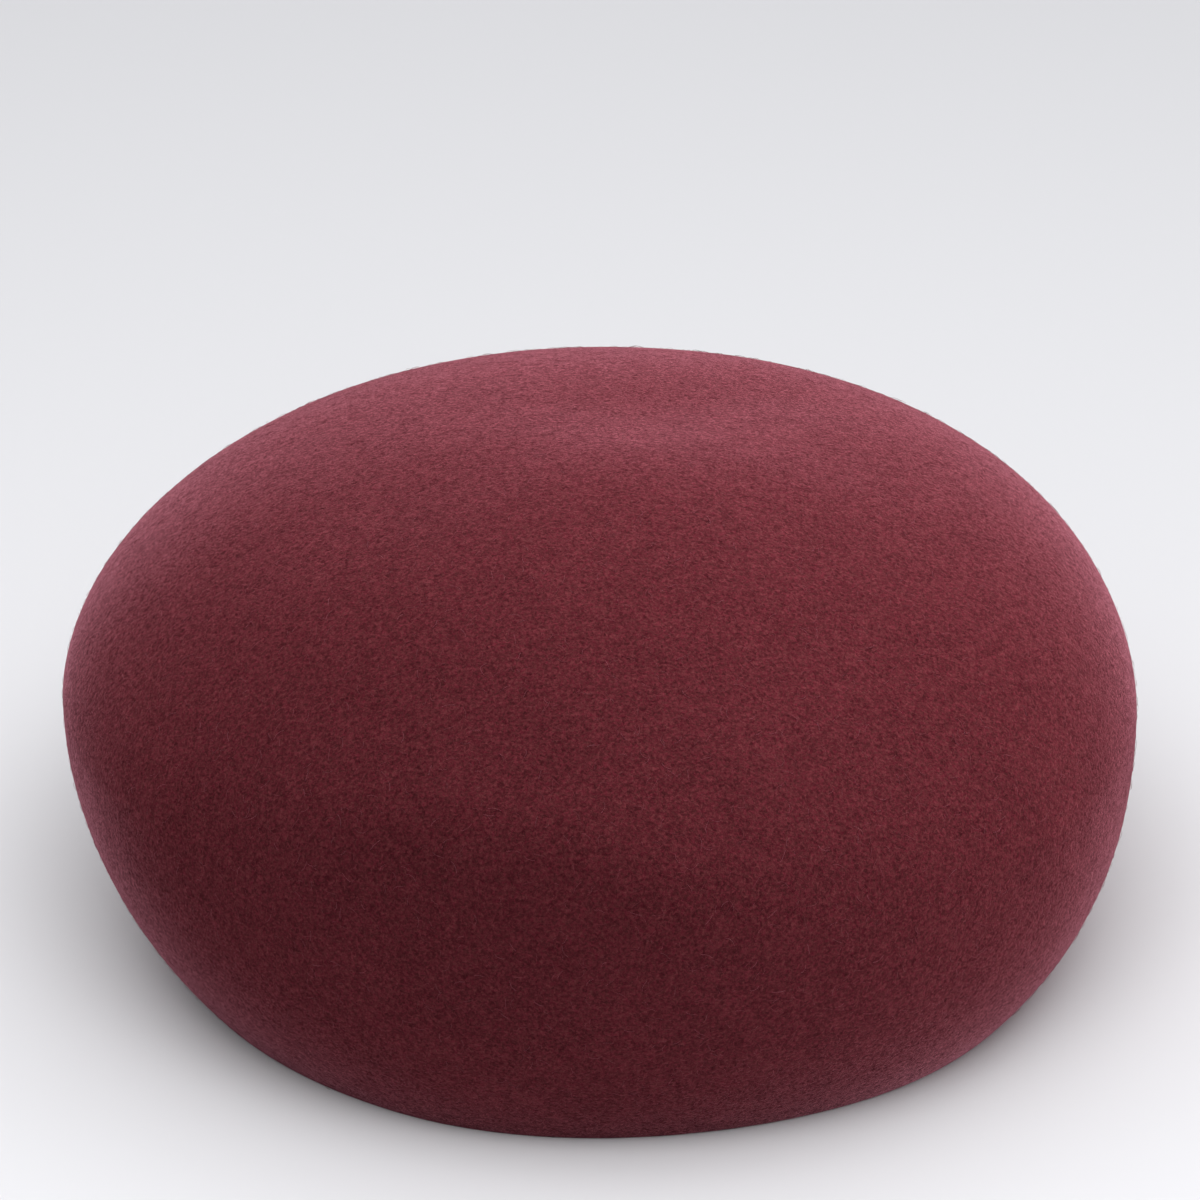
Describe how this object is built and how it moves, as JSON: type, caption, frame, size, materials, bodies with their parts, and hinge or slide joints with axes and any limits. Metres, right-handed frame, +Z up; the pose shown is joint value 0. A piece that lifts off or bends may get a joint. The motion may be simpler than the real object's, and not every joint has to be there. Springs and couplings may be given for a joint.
{
  "type": "moulded felt beret hat",
  "caption": "Brimless round hat moulded in one piece of felt: a low, full crown over a plain oval head opening.",
  "frame": {"origin": "middle of the crown's plan box, on the plane that the rim rests on", "axes": "+X to the hat's right, +Y to its rear, +Z up from the rim to the top of the crown"},
  "size_m": [0.2188, 0.2354, 0.1081],
  "materials": {
    "felt": "burgundy wool felt with a soft matt nap"
  },
  "bodies": {
    "root": {"felt_crown": "felt"}
  },
  "joints": []
}
